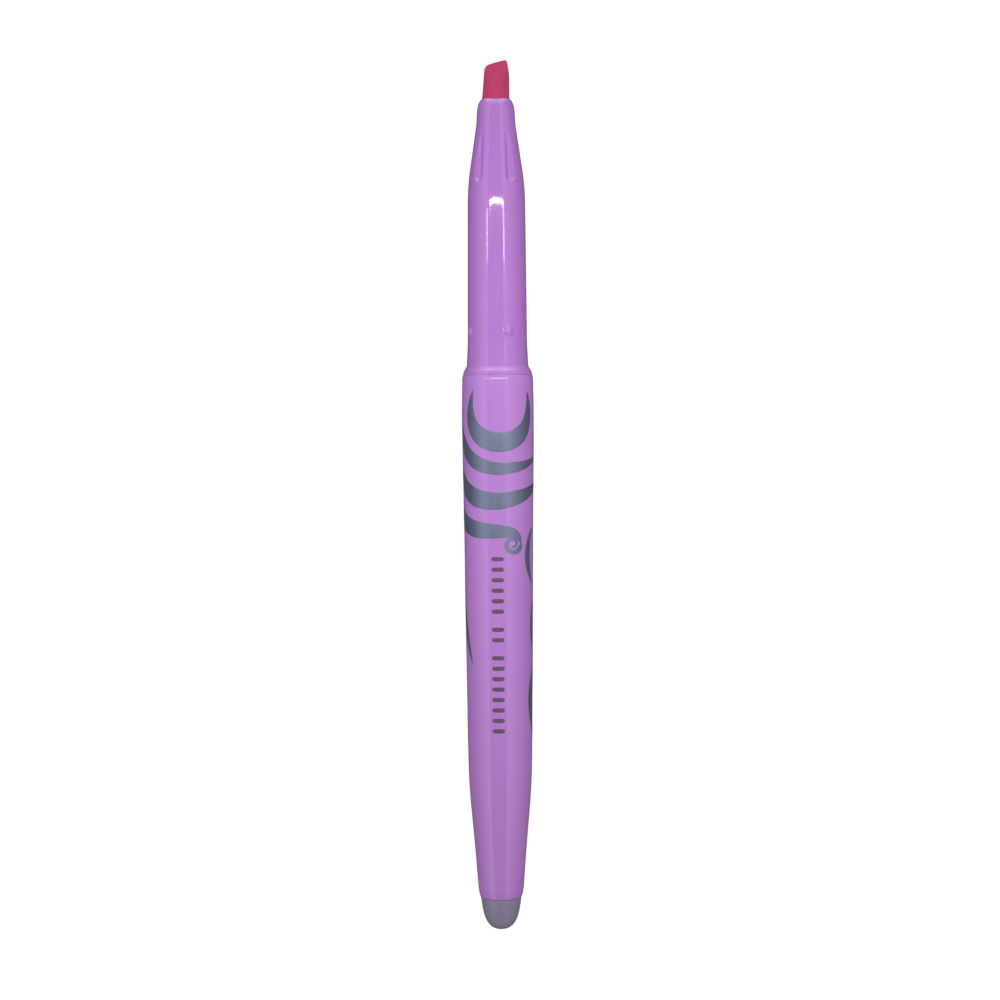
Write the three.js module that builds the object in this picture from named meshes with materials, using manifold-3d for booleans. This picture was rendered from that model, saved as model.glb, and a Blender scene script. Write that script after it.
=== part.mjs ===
// Capped highlighter with an erasing tail, cap off, lying on its side.
// Millimetres, +Z up. The pen's axis runs along Y with the nib towards +Y, and the barrel touches z = 0.
import * as THREE from "three";
import { mergeVertices } from "three/addons/utils/BufferGeometryUtils.js";
import Module from "manifold-3d";

const wasm = await Module();
wasm.setup();

// Stations: distances along the pen, measured back from the nib's tip.
const TOTAL_LENGTH = 132;
const LIP_AT = 5.87;
const NOSE_AT = 7.6;
const NOSE_CREASE_AT = 9.8;
const NOSE_CONE_END_AT = 16.6;
const SLEEVE_AT = 22;
const NUBS_AT = 40.7;
const FLARE_AT = 42.5;
const SHOULDER_AT = 45.4;
const RIDGE_AT = 46.35;
const SEAM_AT = 47.25;
const SPIGOT_END_AT = 56.2;
const RIM_ROUND_AT = 125.2;
const TAIL_RIM_AT = 126.95;

// Outside radii at those stations.
const NIB_RADIUS = 2.08;
const NOSE_TIP_RADIUS = 2.84;
const NOSE_CREASE_RADIUS = 2.975;
const NOSE_CONE_RADIUS = 3.985;
const SLEEVE_FRONT_RADIUS = 4.345;
const SLEEVE_REAR_RADIUS = 4.49;
const SHOULDER_RADIUS = 4.64;
const RIDGE_RADIUS = 4.94;
const COLLAR_RADIUS = 5.25;
const BARREL_RADIUS = 5.43;
const RIM_ROUND_RADIUS = 3.495;
const RIM_RADIUS = 3.15;
const ERASER_RADIUS = 3.1;

// Control points (station, radius) of the curves that round the lip, cone, shoulder, ridge, rim and eraser.
const LIP_CURVE = [6.2, 2.68];
const CONE_CURVE = [18.9, 4.325];
const SHOULDER_CURVE = [45.87, 4.665];
const RIDGE_CURVE = [46.8, 5.2];
const RIM_CURVE = [126.3, 3.4];
const ERASER_CURVE = [129.8, 2.77, TOTAL_LENGTH, 2.35];

// Nib: a rod with a slanted chisel edge in front and a sharpened back end.
const NIB_LENGTH = 33;
const NIB_POINT_AT = 24;
const NIB_POINT_RADIUS = 0.9;
const NIB_SLANT = THREE.MathUtils.degToRad(15.5);
const NIB_SIDE_DRAFT = THREE.MathUtils.degToRad(5);
const NIB_HIGH_CORNER = 0.3;
const NIB_HIGH_CORNER_X = 1.44;
const NIB_LOW_CORNER = 1.0;
const NIB_LOW_CORNER_X = -0.69;
const NIB_SIDE_ROUND_AT = 4.9;
const NIB_SIDE_BULGE = [2, 2.3];
const NIB_EDGE_THICKNESS = 1.0;
const NIB_BEVEL_AT = 3.8;

// Front section, inside and out.
const WALL_GAP = 0.05;
const NOSE_BORE_RADIUS = 2.55;
const NOSE_BORE_AT = 12.5;
const NOSE_BORE_END_AT = 22.4;
const SLEEVE_BORE_RADIUS = 3.55;
const SLEEVE_BORE_AT = 24.6;
const SPIGOT_RADIUS = 4.15;
const SPIGOT_BEAD_RADIUS = 4.35;
const SPIGOT_BAND_LENGTH = 1.8;
const SPIGOT_CHAMFER = 0.25;
const FLUTES = 5;
const FLUTE_RADIUS = 0.8;
const FLUTE_FRONT_AT = 10.3;
const FLUTE_REAR_AT = 17.45;
const FLUTE_FLOOR_FRONT = 3.065;
const FLUTE_FLOOR_REAR = 3.62;
const FLUTE_PHASE = 31;
const FLUTE_SIDES = 20;
const NUBS = 4;
const NUB_RADIUS = 0.85;
const NUB_HEIGHT = 0.26;
const NUB_SUNK = 0.15;
const NUB_PHASE = 22.5;
const RIB_THICKNESS = 0.6;
const RIB_ROOT = 0.2;

// Barrel: (station, radius) pairs on its outside, from its widest part to the drawn-in tail.
const BARREL_OUTSIDE = [
  [51.5, BARREL_RADIUS],
  [60, 5.38],
  [68, 5.27],
  [86, 5.11],
  [99, 4.95],
  [105.5, 4.87],
  [109, 4.765],
  [113, 4.5],
  [117, 4.14],
  [121, 3.81],
  [RIM_ROUND_AT, RIM_ROUND_RADIUS],
];
const MOUTH_EDGE = 1.1;
const MOUTH_EDGE_HEIGHT = 0.15;
const MOUTH_EDGE_RADIUS = 5.375;

// Barrel, inside.
const MOUTH_BORE_RADIUS = 4.42;
const MOUTH_BORE_END_AT = 57;
const SNAP_GROOVE_AT = 53.2;
const SNAP_GROOVE_RADIUS = 4.62;
const CHAMBER_RADIUS = 4.25;
const BARREL_RIBS = 6;
const BARREL_RIB_CREST = 3.52;
const BARREL_RIBS_AT = 57.6;
const BARREL_RIBS_END_AT = 104.2;
const STEM_BORE_RADIUS = 2.08;
const STEM_BORE_END_AT = 122;
// (station, radius) pairs on the chamber's wall, from its back end to its straight front part.
const CHAMBER_WALL = [
  [120.6, 2.86],
  [117, 3.16],
  [110.6, 3.62],
  [104.4, 3.95],
  [70, CHAMBER_RADIUS],
];

// Reservoir, with its film and breather tube.
const RESERVOIR_RADIUS = 3.3;
const RESERVOIR_AT = 24.7;
const RESERVOIR_END_AT = 104.9;
const FILM_RADIUS = 3.45;
const FILM_THICKNESS = 0.09;
const FILM_MARGIN = 1;
const BREATHER_RADIUS = 0.42;
const BREATHER_BORE = 0.28;
const BREATHER_OFFSET = 2.75;

// Tail plug and eraser.
const PLUG_AT = 105.2;
const PLUG_END_AT = 120.3;
const PLUG_WEB_AT = 112.4;
const PLUG_SOCKET_AT = 114.1;
const PLUG_FRONT_RADIUS = 3.82;
const PLUG_REAR_RADIUS = 2.8;
const PLUG_CUP_RADIUS = 2.9;
const PLUG_VENT_RADIUS = 0.5;
const ERASER_SEAT_AT = TAIL_RIM_AT + WALL_GAP;
const STEM_END_AT = 114.6;
const STEM_RADIUS = 1.85;
const STEM_LEAD_IN = 0.5;
const STEM_RING_RADIUS = 2.02;
const STEM_RING_LENGTH = 1.1;
const STEM_RINGS_AT = [116, 118.5, 124.5];

const SIDES = 24;
const SMALL_SIDES = 12;
const OVERSHOOT = 1;
// The barrel is a prism of SIDES faces round its axis, and one of them lies on the ground.
const AXIS_HEIGHT = BARREL_RADIUS * Math.cos(Math.PI / SIDES);

// Y of a station.
function along(station) {
  return TOTAL_LENGTH / 2 - station;
}

// Solid of revolution about the pen's axis. The outline is a path of (station, radius) that runs back
// along the outside from the front, and forward again along the inside where the piece is a tube.
function turned(outline, divisions = 1, sides = SIDES) {
  const points = outline
    .getPoints(divisions)
    .map((point) => new THREE.Vector2(point.y, along(point.x)))
    .reverse();
  if (points[0].x > 0) {
    points.push(points[0].clone());
  }
  return new THREE.LatheGeometry(points, sides, Math.PI / sides);
}

// Path of straight lines through (station, radius) pairs.
function lines(pairs) {
  return new THREE.Path(pairs.map(([station, radius]) => new THREE.Vector2(station, radius)));
}

function solidOf(geometry) {
  const bare = geometry.clone();
  bare.deleteAttribute("normal");
  bare.deleteAttribute("uv");
  const merged = mergeVertices(bare);
  return new wasm.Manifold(
    new wasm.Mesh({
      numProp: 3,
      vertProperties: merged.attributes.position.array,
      triVerts: new Uint32Array(merged.index.array),
    }),
  );
}

function geometryOf(solid) {
  const mesh = solid.getMesh();
  const geometry = new THREE.BufferGeometry();
  geometry.setAttribute("position", new THREE.BufferAttribute(mesh.vertProperties, 3));
  geometry.setIndex(new THREE.BufferAttribute(mesh.triVerts, 1));
  geometry.computeVertexNormals();
  return geometry;
}

// The base solid with every tool of a list added to it or cut out of it.
function joined(base, tools) {
  return tools.reduce((solid, tool) => solid.add(solidOf(tool)), base);
}

function cut(base, tools) {
  return tools.reduce((solid, tool) => solid.subtract(solidOf(tool)), base);
}

// A geometry copied evenly round the axis. It is drawn above the axis, where the angle is 0.
function around(geometry, count, phaseDegrees) {
  return Array.from({ length: count }, (_, index) => {
    const angle = THREE.MathUtils.degToRad(phaseDegrees + (index * 360) / count);
    return geometry.clone().rotateY(angle);
  });
}

// Bar above the axis, from one station to another and from one radius to another.
function bar(front, rear, inner, outer, thickness) {
  const box = new THREE.BoxGeometry(thickness, rear - front, outer - inner);
  return box.translate(0, along((front + rear) / 2), (inner + outer) / 2);
}

// Front view of the nib: a slanted top edge between a small high corner and a wide low one.
function nibFrontView() {
  const highY = along(0) - NIB_HIGH_CORNER;
  const slope = Math.tan(NIB_SLANT);
  const drop = slope * (NIB_HIGH_CORNER_X - NIB_LOW_CORNER_X);
  const lowY = highY - drop + (NIB_HIGH_CORNER - NIB_LOW_CORNER) / Math.cos(NIB_SLANT);
  const slant = Math.PI / 2 + NIB_SLANT;
  const half = NIB_RADIUS + OVERSHOOT;
  const view = new THREE.Shape();
  view.moveTo(-half, along(LIP_AT));
  view.lineTo(-half, along(NIB_LENGTH + OVERSHOOT));
  view.lineTo(half, along(NIB_LENGTH + OVERSHOOT));
  view.lineTo(half, along(LIP_AT));
  view.lineTo(NIB_RADIUS, along(NIB_SIDE_ROUND_AT));
  const cornerX = NIB_HIGH_CORNER_X + NIB_HIGH_CORNER * Math.cos(2 * NIB_SIDE_DRAFT);
  const cornerY = highY + NIB_HIGH_CORNER * Math.sin(2 * NIB_SIDE_DRAFT);
  const [bulgeX, bulgeAt] = NIB_SIDE_BULGE;
  view.quadraticCurveTo(bulgeX, along(bulgeAt), cornerX, cornerY);
  view.absarc(NIB_HIGH_CORNER_X, highY, NIB_HIGH_CORNER, 2 * NIB_SIDE_DRAFT, slant, false);
  view.absarc(NIB_LOW_CORNER_X, lowY, NIB_LOW_CORNER, slant, Math.PI - NIB_SIDE_DRAFT, false);
  view.lineTo(-NIB_RADIUS, along(LIP_AT));
  return view;
}

// Side view of the nib: two bevels that meet in a narrow flat edge.
function nibSideView() {
  const edge = NIB_EDGE_THICKNESS / 2;
  const slope = (NIB_RADIUS - edge) / NIB_BEVEL_AT;
  const clear = NIB_BEVEL_AT + OVERSHOOT;
  const wide = edge + slope * clear;
  const view = new THREE.Shape();
  const ahead = edge - slope * WALL_GAP;
  view.moveTo(ahead, along(0) + WALL_GAP);
  view.lineTo(-ahead, along(0) + WALL_GAP);
  view.lineTo(-wide, along(clear));
  view.lineTo(-wide, along(NIB_LENGTH + OVERSHOOT));
  view.lineTo(wide, along(NIB_LENGTH + OVERSHOOT));
  view.lineTo(wide, along(clear));
  return view;
}

function chiselNib() {
  const rod = turned(
    lines([
      [-OVERSHOOT, 0],
      [-OVERSHOOT, NIB_RADIUS],
      [NIB_POINT_AT, NIB_RADIUS],
      [NIB_LENGTH, NIB_POINT_RADIUS],
      [NIB_LENGTH, 0],
    ]),
  );
  const depth = 4 * NIB_RADIUS;
  const options = { depth, bevelEnabled: false, curveSegments: 6 };
  const front = new THREE.ExtrudeGeometry(nibFrontView(), options).translate(0, 0, -depth / 2);
  const side = new THREE.ExtrudeGeometry(nibSideView(), options).translate(0, 0, -depth / 2);
  const blank = solidOf(rod).intersect(solidOf(front));
  return geometryOf(blank.intersect(solidOf(side.rotateY(Math.PI / 2))));
}

// Lip, nose, cone, sleeve, shoulder and spigot on the outside, and two bores inside.
function frontSectionOutline() {
  const bore = NIB_RADIUS + WALL_GAP;
  const path = new THREE.Path();
  path.moveTo(LIP_AT, bore);
  path.quadraticCurveTo(...LIP_CURVE, NOSE_AT, NOSE_TIP_RADIUS);
  path.lineTo(NOSE_CREASE_AT, NOSE_CREASE_RADIUS);
  path.lineTo(NOSE_CONE_END_AT, NOSE_CONE_RADIUS);
  path.quadraticCurveTo(...CONE_CURVE, SLEEVE_AT, SLEEVE_FRONT_RADIUS);
  path.lineTo(FLARE_AT, SLEEVE_REAR_RADIUS);
  path.lineTo(SHOULDER_AT, SHOULDER_RADIUS);
  path.quadraticCurveTo(...SHOULDER_CURVE, RIDGE_AT, RIDGE_RADIUS);
  path.quadraticCurveTo(...RIDGE_CURVE, SEAM_AT - WALL_GAP, COLLAR_RADIUS);
  path.lineTo(SEAM_AT - WALL_GAP, SPIGOT_BEAD_RADIUS);
  path.lineTo(SEAM_AT + SPIGOT_BAND_LENGTH, SPIGOT_BEAD_RADIUS);
  path.lineTo(SEAM_AT + SPIGOT_BAND_LENGTH + 0.2, SPIGOT_RADIUS);
  path.lineTo(SNAP_GROOVE_AT - 0.8, SPIGOT_RADIUS);
  path.lineTo(SNAP_GROOVE_AT - 0.4, SPIGOT_BEAD_RADIUS);
  path.lineTo(SNAP_GROOVE_AT + 0.4, SPIGOT_BEAD_RADIUS);
  path.lineTo(SNAP_GROOVE_AT + 0.8, SPIGOT_RADIUS);
  path.lineTo(SPIGOT_END_AT - 2 * SPIGOT_CHAMFER, SPIGOT_RADIUS);
  path.lineTo(SPIGOT_END_AT, SPIGOT_RADIUS - SPIGOT_CHAMFER);
  path.lineTo(SPIGOT_END_AT, SLEEVE_BORE_RADIUS);
  path.lineTo(SLEEVE_BORE_AT, SLEEVE_BORE_RADIUS);
  path.lineTo(NOSE_BORE_END_AT, NOSE_BORE_RADIUS);
  path.lineTo(NOSE_BORE_AT, NOSE_BORE_RADIUS);
  path.lineTo(NOSE_BORE_AT - 0.7, bore);
  return path;
}

// One flute's cutter: a round-ended rod whose underside runs from the nose's surface down into the cone.
function fluteCutter() {
  const length = FLUTE_REAR_AT - FLUTE_FRONT_AT;
  const tilt = Math.atan((FLUTE_FLOOR_REAR - FLUTE_FLOOR_FRONT) / length);
  const slanted = length / Math.cos(tilt);
  const rod = new THREE.CapsuleGeometry(FLUTE_RADIUS, slanted, FLUTE_SIDES / 4, FLUTE_SIDES);
  const middle = (FLUTE_FRONT_AT + FLUTE_REAR_AT) / 2;
  const floor = (FLUTE_FLOOR_FRONT + FLUTE_FLOOR_REAR) / 2;
  return rod.rotateX(-tilt).translate(0, along(middle), floor + FLUTE_RADIUS);
}

function snapNub() {
  const share = (NUBS_AT - SLEEVE_AT) / (FLARE_AT - SLEEVE_AT);
  const surface = THREE.MathUtils.lerp(SLEEVE_FRONT_RADIUS, SLEEVE_REAR_RADIUS, share);
  const ball = new THREE.SphereGeometry(1, SMALL_SIDES, 8);
  ball.scale(NUB_RADIUS, NUB_RADIUS, NUB_HEIGHT + NUB_SUNK);
  return ball.translate(0, along(NUBS_AT), surface - NUB_SUNK);
}

function frontSection() {
  const shell = solidOf(turned(frontSectionOutline(), 4));
  const nubbed = joined(shell, around(snapNub(), NUBS, NUB_PHASE));
  const fluted = cut(nubbed, around(fluteCutter(), FLUTES, FLUTE_PHASE));
  const crest = NIB_RADIUS + WALL_GAP;
  const rib = bar(NOSE_BORE_AT, NOSE_BORE_END_AT, crest, NOSE_BORE_RADIUS + RIB_ROOT, RIB_THICKNESS);
  // The ribs stand between the flutes, where the wall is thick.
  const ribs = around(rib, FLUTES, FLUTE_PHASE + 180 / FLUTES);
  return geometryOf(joined(fluted, ribs));
}

function barrelOutline() {
  const path = new THREE.Path();
  path.moveTo(SEAM_AT, MOUTH_BORE_RADIUS);
  const edgeEnd = SEAM_AT + MOUTH_EDGE;
  const edgeBase = MOUTH_EDGE_RADIUS - MOUTH_EDGE_HEIGHT;
  path.absellipse(edgeEnd, edgeBase, MOUTH_EDGE, MOUTH_EDGE_HEIGHT, Math.PI, Math.PI / 2, true);
  path.splineThru(BARREL_OUTSIDE.map((pair) => new THREE.Vector2(...pair)));
  path.quadraticCurveTo(...RIM_CURVE, TAIL_RIM_AT, RIM_RADIUS);
  path.lineTo(TAIL_RIM_AT, STEM_BORE_RADIUS);
  path.lineTo(STEM_BORE_END_AT, STEM_BORE_RADIUS);
  for (const [station, radius] of CHAMBER_WALL) {
    path.lineTo(station, radius);
  }
  path.lineTo(MOUTH_BORE_END_AT + 0.4, CHAMBER_RADIUS);
  path.lineTo(MOUTH_BORE_END_AT, MOUTH_BORE_RADIUS);
  path.lineTo(SNAP_GROOVE_AT + 1, MOUTH_BORE_RADIUS);
  path.lineTo(SNAP_GROOVE_AT + 0.6, SNAP_GROOVE_RADIUS);
  path.lineTo(SNAP_GROOVE_AT - 0.6, SNAP_GROOVE_RADIUS);
  path.lineTo(SNAP_GROOVE_AT - 1, MOUTH_BORE_RADIUS);
  return path;
}

function barrelShell() {
  const root = CHAMBER_RADIUS + RIB_ROOT;
  const rib = bar(BARREL_RIBS_AT, BARREL_RIBS_END_AT, BARREL_RIB_CREST, root, RIB_THICKNESS);
  return geometryOf(joined(solidOf(turned(barrelOutline(), 2)), around(rib, BARREL_RIBS, 0)));
}

// The fibre core: a rod with a cone for the nib's point and a slot along its top for the breather tube.
function inkReservoir() {
  const share = (RESERVOIR_AT - NIB_POINT_AT) / (NIB_LENGTH - NIB_POINT_AT);
  const mouth = THREE.MathUtils.lerp(NIB_RADIUS, NIB_POINT_RADIUS, share) + WALL_GAP;
  const core = turned(
    lines([
      [NIB_LENGTH + 0.3, 0],
      [NIB_LENGTH + 0.3, NIB_POINT_RADIUS + WALL_GAP],
      [RESERVOIR_AT, mouth],
      [RESERVOIR_AT, RESERVOIR_RADIUS],
      [RESERVOIR_END_AT, RESERVOIR_RADIUS],
      [RESERVOIR_END_AT, 0],
    ]),
  );
  const clear = BREATHER_RADIUS + WALL_GAP;
  const front = RESERVOIR_AT - OVERSHOOT;
  const rear = RESERVOIR_END_AT + OVERSHOOT;
  const round = new THREE.CylinderGeometry(clear, clear, rear - front, SMALL_SIDES);
  round.translate(0, along((front + rear) / 2), BREATHER_OFFSET);
  const slot = bar(front, rear, BREATHER_OFFSET, RESERVOIR_RADIUS + OVERSHOOT, 2 * clear);
  return geometryOf(cut(solidOf(core), [round, slot]));
}

// Plain tube from one station to another.
function tube(front, rear, outer, inner, sides) {
  const outline = lines([
    [front, inner],
    [front, outer],
    [rear, outer],
    [rear, inner],
  ]);
  return turned(outline, 1, sides);
}

// The plug's outside follows the chamber's wall from front to back, a little inside it.
function plugOutside() {
  const clear = WALL_GAP + 0.01;
  const bends = CHAMBER_WALL.filter(([station]) => station > PLUG_AT && station < PLUG_END_AT).reverse();
  const inside = bends.map(([station, radius]) => [station, radius - clear]);
  return [[PLUG_AT, PLUG_FRONT_RADIUS], ...inside, [PLUG_END_AT, PLUG_REAR_RADIUS]];
}

// Cup that stops the reservoir in front and takes the eraser's stem behind, with a vent in its web.
function tailPlug() {
  return turned(
    lines([
      [PLUG_AT, PLUG_CUP_RADIUS],
      ...plugOutside(),
      [PLUG_END_AT, STEM_BORE_RADIUS],
      [PLUG_SOCKET_AT, STEM_BORE_RADIUS],
      [PLUG_SOCKET_AT, PLUG_VENT_RADIUS],
      [PLUG_WEB_AT, PLUG_VENT_RADIUS],
      [PLUG_WEB_AT, PLUG_CUP_RADIUS - 0.3],
    ]),
  );
}

// Stem with grip rings, a flange against the barrel's rim, and a blunt dome.
function eraserOutline() {
  const path = new THREE.Path();
  path.moveTo(STEM_END_AT, 0);
  path.lineTo(STEM_END_AT, STEM_RADIUS - STEM_LEAD_IN);
  path.lineTo(STEM_END_AT + STEM_LEAD_IN, STEM_RADIUS);
  const ramp = STEM_RING_RADIUS - STEM_RADIUS;
  for (const ring of STEM_RINGS_AT) {
    path.lineTo(ring, STEM_RADIUS);
    path.lineTo(ring + ramp, STEM_RING_RADIUS);
    path.lineTo(ring + STEM_RING_LENGTH - ramp, STEM_RING_RADIUS);
    path.lineTo(ring + STEM_RING_LENGTH, STEM_RADIUS);
  }
  path.lineTo(ERASER_SEAT_AT, STEM_RADIUS);
  path.lineTo(ERASER_SEAT_AT, ERASER_RADIUS);
  path.bezierCurveTo(...ERASER_CURVE, TOTAL_LENGTH, 0);
  return path;
}

function piece(name, geometry, color, roughness) {
  const material = new THREE.MeshStandardMaterial({ color, roughness, metalness: 0 });
  const mesh = new THREE.Mesh(geometry, material);
  mesh.name = name;
  return mesh;
}

// Everything is drawn on the pen's axis, and the whole pen is lifted to lie on the ground.
const pen = new THREE.Group();
pen.position.z = AXIS_HEIGHT;

const front = new THREE.Group();
front.add(piece("front_section", frontSection(), 0xbe80d7, 0.3));
front.add(piece("chisel_nib", chiselNib(), 0xbe3e6c, 0.85));
pen.add(front);

const filmFront = RESERVOIR_AT + FILM_MARGIN;
const filmRear = RESERVOIR_END_AT - FILM_MARGIN;
const film = tube(filmFront, filmRear, FILM_RADIUS, FILM_RADIUS - FILM_THICKNESS, SIDES);
const breather = tube(RESERVOIR_AT, RESERVOIR_END_AT, BREATHER_RADIUS, BREATHER_BORE, SMALL_SIDES);
const breatherTube = piece("breather_tube", breather, 0xe6e6ea, 0.35);
breatherTube.position.z = BREATHER_OFFSET;

const rear = new THREE.Group();
rear.add(piece("barrel", barrelShell(), 0xc387dc, 0.3));
rear.add(piece("ink_reservoir", inkReservoir(), 0xd0567f, 0.9));
rear.add(piece("reservoir_film", film, 0xe9e2ee, 0.2));
rear.add(breatherTube);
rear.add(piece("tail_plug", tailPlug(), 0xeeeef0, 0.4));
pen.add(rear);

const tail = new THREE.Group();
tail.add(piece("eraser", turned(eraserOutline(), 8), 0x827b91, 0.6));
pen.add(tail);

const highlighter = new THREE.Group();
highlighter.add(pen);

export default highlighter;
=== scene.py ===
"""Capped highlighter with an erasing tail, cap off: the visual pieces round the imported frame.

Sizes are in millimetres. A station is a distance back along the pen from the tip of its nib, a radius is
measured from the pen's axis, and an angle goes round the axis from the top towards +X.
"""
import math

import bpy
import numpy as np
from bpy.props import FloatProperty, FloatVectorProperty, IntProperty, PointerProperty
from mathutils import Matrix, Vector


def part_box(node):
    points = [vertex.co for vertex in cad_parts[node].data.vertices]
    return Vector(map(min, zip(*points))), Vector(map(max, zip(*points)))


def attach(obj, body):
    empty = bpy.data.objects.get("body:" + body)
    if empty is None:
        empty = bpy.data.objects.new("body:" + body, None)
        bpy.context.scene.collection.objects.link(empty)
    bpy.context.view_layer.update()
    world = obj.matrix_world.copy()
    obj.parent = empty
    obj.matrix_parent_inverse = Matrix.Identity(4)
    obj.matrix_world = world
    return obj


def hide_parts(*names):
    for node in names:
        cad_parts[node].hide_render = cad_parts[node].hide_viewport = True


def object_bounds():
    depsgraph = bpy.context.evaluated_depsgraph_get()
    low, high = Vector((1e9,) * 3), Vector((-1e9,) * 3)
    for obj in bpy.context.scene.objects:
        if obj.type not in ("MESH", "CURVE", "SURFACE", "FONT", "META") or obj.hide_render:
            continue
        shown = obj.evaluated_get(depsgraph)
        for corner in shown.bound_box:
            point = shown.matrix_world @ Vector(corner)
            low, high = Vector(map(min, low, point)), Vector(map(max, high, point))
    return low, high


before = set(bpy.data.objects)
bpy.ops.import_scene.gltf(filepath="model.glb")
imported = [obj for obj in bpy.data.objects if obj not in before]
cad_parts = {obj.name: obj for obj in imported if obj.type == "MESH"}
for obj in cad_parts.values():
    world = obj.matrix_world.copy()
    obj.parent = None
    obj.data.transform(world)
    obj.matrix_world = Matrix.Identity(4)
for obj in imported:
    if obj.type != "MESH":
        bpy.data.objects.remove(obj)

bl_info = {
    "name": "Erasable Highlighter",
    "version": (1, 0, 0),
    "blender": (4, 5, 0),
    "location": "View3D > Sidebar > Highlighter",
    "description": "Builds the nib, mouldings, print and inner parts of a capped erasable highlighter",
    "category": "Add Mesh",
}

CAD_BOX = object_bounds()
MM = 0.001
# The frame's round solids have this many flat sides, so their boxes are a little narrower than the circle.
FRAME_SIDES = 24
FLAT_SHARE = math.cos(math.pi / FRAME_SIDES)

TIP_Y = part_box("chisel_nib")[1].y
AXIS_Z = (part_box("eraser")[0].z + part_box("eraser")[1].z) / 2


def station_of(node, end):
    """Station, in millimetres, of a frame node's front or back end."""
    low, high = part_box(node)
    return (TIP_Y - (high.y if end == "front" else low.y)) / MM


def radius_of(node):
    """Largest radius, in millimetres, of a round frame node."""
    low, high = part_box(node)
    return (high.x - low.x) / 2 / FLAT_SHARE / MM


TOTAL_LENGTH = station_of("eraser", "back")
LIP_AT = station_of("front_section", "front")
SEAM_AT = station_of("barrel", "front")
RIM_AT = station_of("barrel", "back")
SPIGOT_END_AT = station_of("front_section", "back")
NIB_LENGTH = station_of("chisel_nib", "back")
NIB_RADIUS = radius_of("chisel_nib")
BARREL_RADIUS = radius_of("barrel")
STEM_END_AT = station_of("eraser", "front")
RESERVOIR_AT = station_of("ink_reservoir", "front")
RESERVOIR_END_AT = station_of("ink_reservoir", "back")
FILM_AT = station_of("reservoir_film", "front")
FILM_END_AT = station_of("reservoir_film", "back")
FILM_RADIUS = radius_of("reservoir_film")
PLUG_AT = station_of("tail_plug", "front")
PLUG_END_AT = station_of("tail_plug", "back")
CLEARANCE = 0.05
NIB_BORE = NIB_RADIUS + CLEARANCE

# Places on the outside of the front section, as (station, radius).
NOSE_TIP = (7.6, 2.84)
CONE_END = (16.6, 3.985)
SLEEVE_FRONT = (22, 4.345)
SHOULDER = (45.75, 4.66)
SEAM_GAP = 0.012

# Flutes and cap nubs on it.
FLUTE_FRONT_AT = 10.3
FLUTE_REAR_AT = 17.45
FLUTE_FLOOR_FRONT = 3.065
FLUTE_FLOOR_REAR = 3.62
FLUTE_PHASE = math.radians(31)
NUBS_AT = 40.7
NUB_PHASE = math.radians(22.5)
NUB_SUNK = 0.15

# Its spigot and bores.
SPIGOT_RADIUS = 4.15
BEAD_RADIUS = 4.35
NOSE_BORE = 2.55
NOSE_BORE_AT = 12.4
SLEEVE_BORE = 3.55

# Barrel.
MOUTH_EDGE = 0.9
MOUTH_EDGE_HEIGHT = 0.15
MOUTH_EDGE_BASE = 5.225
MOUTH_BORE = 4.42
MOUTH_BORE_END_AT = 57
SNAP_GROOVE = 4.62
CHAMBER = 4.25
BARREL_RIBS = 6
BARREL_RIB_CREST = 3.52
RIM_ROUND = (125.2, 3.495)
STEM_BORE = 2.08

# Nib, eraser and inner parts.
NIB_POINT_RADIUS = 0.9
ERASER_RADIUS = 3.1
STEM_RADIUS = 1.85
RING_RADIUS = 2.02
RING_LENGTH = 1.1
RESERVOIR_RADIUS = 3.3
FILM_THICKNESS = 0.09
FILM_LAP_HEIGHT = 0.045
BREATHER_RADIUS = 0.42
BREATHER_BORE = 0.28
BREATHER_OFFSET = 2.75
PLUG_WEB_AT = 112.4
PLUG_SOCKET_AT = 114.1
PLUG_CUP_RADIUS = 2.9
PLUG_VENT_RADIUS = 0.5


def linear(colour):
    """Scene-linear RGBA of an sRGB hex colour such as #C387DC."""
    channels = np.array([int(colour[i:i + 2], 16) for i in (1, 3, 5)]) / 255
    curve = np.where(channels <= 0.04045, channels / 12.92, ((channels + 0.055) / 1.055) ** 2.4)
    return (*curve.tolist(), 1.0)


# ---------- sizes


def length_property(name, default, description):
    return FloatProperty(name=name, default=default * MM, description=description, unit="LENGTH", precision=6)


def colour_property(name, colour, description):
    return FloatVectorProperty(
        name=name, default=linear(colour), description=description, subtype="COLOR", size=4, min=0, max=1
    )


class PenSizes(bpy.types.PropertyGroup):
    """Sizes of the visible mouldings that a user would change."""

    flute_count: IntProperty(name="Flutes", default=5, min=1, description="Flutes round the nose")
    flute_radius: length_property("Flute radius", 0.8, "Radius of the cutter that a flute follows")
    nub_count: IntProperty(name="Cap nubs", default=4, min=1, description="Nubs that the cap clicks over")
    nub_radius: length_property("Nub radius", 0.85, "Radius of a cap nub, seen from above")
    nub_height: length_property("Nub height", 0.26, "How far a cap nub stands out of the sleeve")
    print_height: length_property("Print height", 0.014, "How far the printed film stands out of the barrel")


class PenColours(bpy.types.PropertyGroup):
    """Colours of the pen's materials."""

    barrel: colour_property("Barrel", "#C387DC", "Lilac plastic of the barrel")
    section: colour_property("Front section", "#BE80D7", "Lilac plastic of the nose and sleeve")
    nib: colour_property("Nib", "#C4386C", "Ink-soaked fibre of the nib")
    eraser: colour_property("Eraser", "#958DA6", "Frosted rubber of the tail")
    pattern: colour_property("Pattern", "#767A96", "Metallic ink of the printed pattern")
    marks: colour_property("Marks", "#6B4A6B", "Dark ink of the printed marks")


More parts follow.
